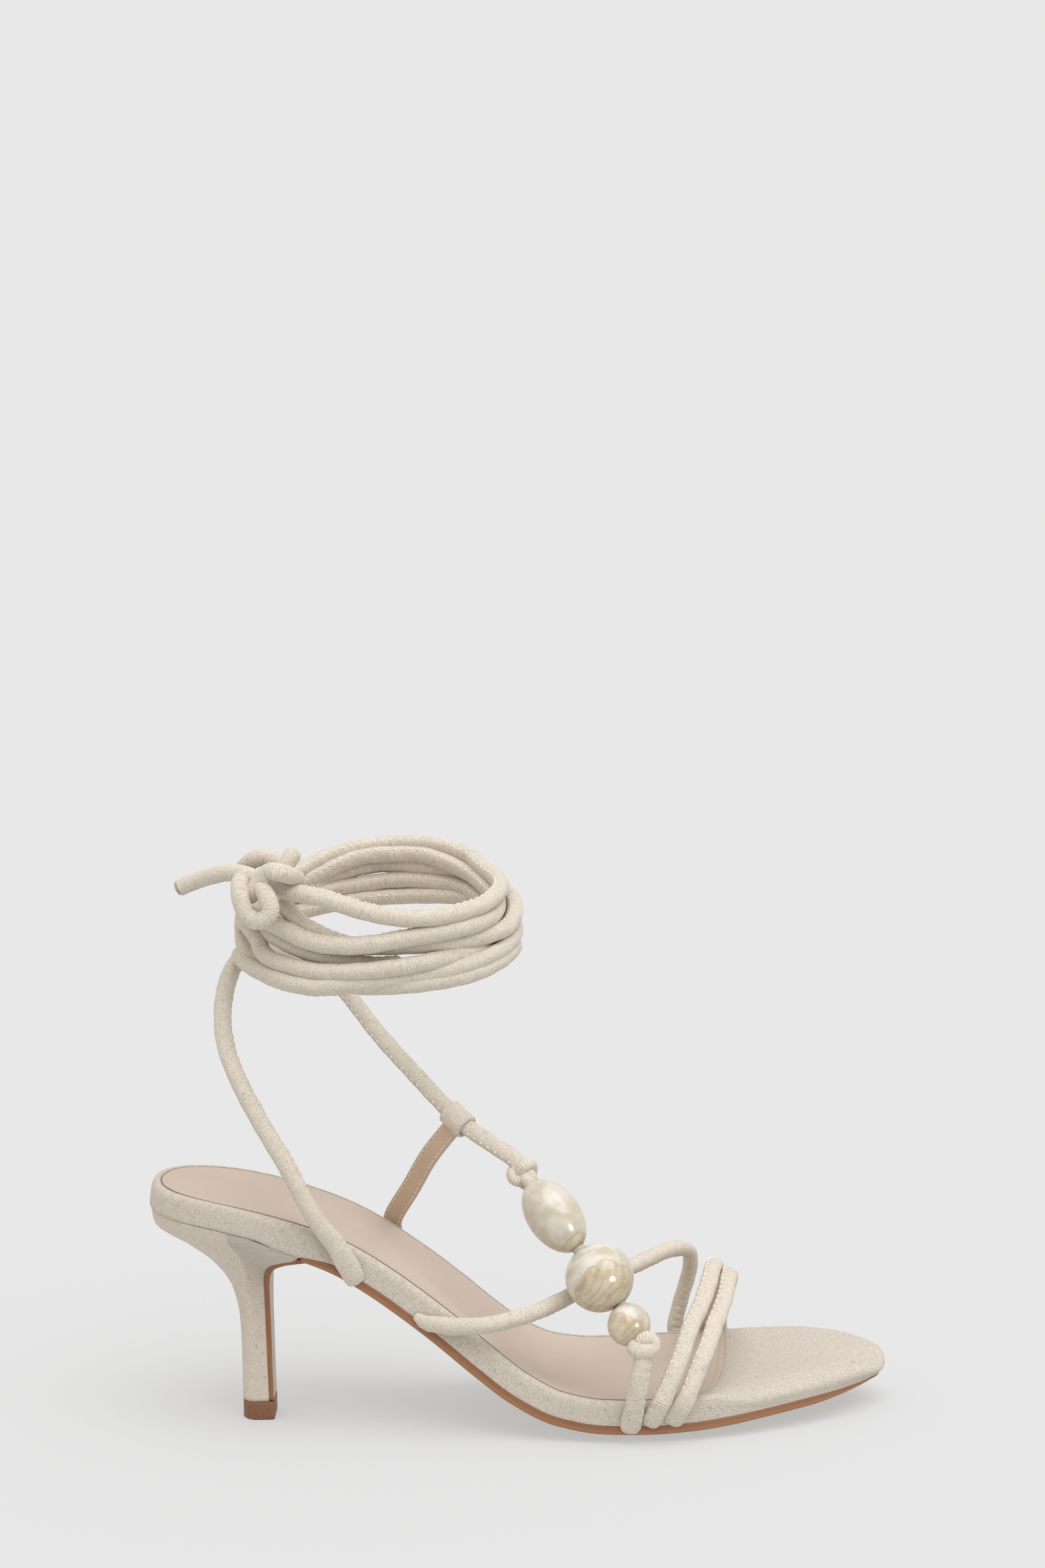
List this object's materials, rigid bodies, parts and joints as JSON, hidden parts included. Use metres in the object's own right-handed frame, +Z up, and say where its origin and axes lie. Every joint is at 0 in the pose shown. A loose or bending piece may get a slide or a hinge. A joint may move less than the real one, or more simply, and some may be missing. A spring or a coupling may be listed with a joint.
{
  "type": "heeled lace-up sandal",
  "caption": "Right lace-up sandal on a slim covered heel, with a linen footbed, cord straps over the toes, marbled beads and ankle ties wound up and knotted in a bow.",
  "frame": {"origin": "middle of the shoe's plan, without the bow, on the floor that heel and forefoot stand on", "axes": "+X towards the toe, +Y towards the inner side of the foot, +Z up"},
  "size_m": [0.2396, 0.095, 0.1878],
  "materials": {
    "linen": "woven oatmeal linen",
    "sock": "smooth beige lining leather",
    "outsole": "smooth tan sole sheet",
    "tip": "brown top piece",
    "resin": "polished marbled resin"
  },
  "bodies": {
    "root": {"outsole": "outsole", "footbed": "linen", "insole": "sock", "heel": "linen", "heel_tip": "tip", "toe_strap_front": "linen", "toe_strap_rear": "linen", "cross_strap": "linen", "bead_oval": "resin", "bead_round": "resin", "bead_small": "resin", "bead_cord": "linen", "ankle_wrap": "linen", "loop_strap": "linen", "bow_knot": "linen", "bow_loop_front": "linen", "bow_loop_rear": "linen", "bow_end_long": "linen", "bow_end_short": "linen"}
  },
  "joints": []
}
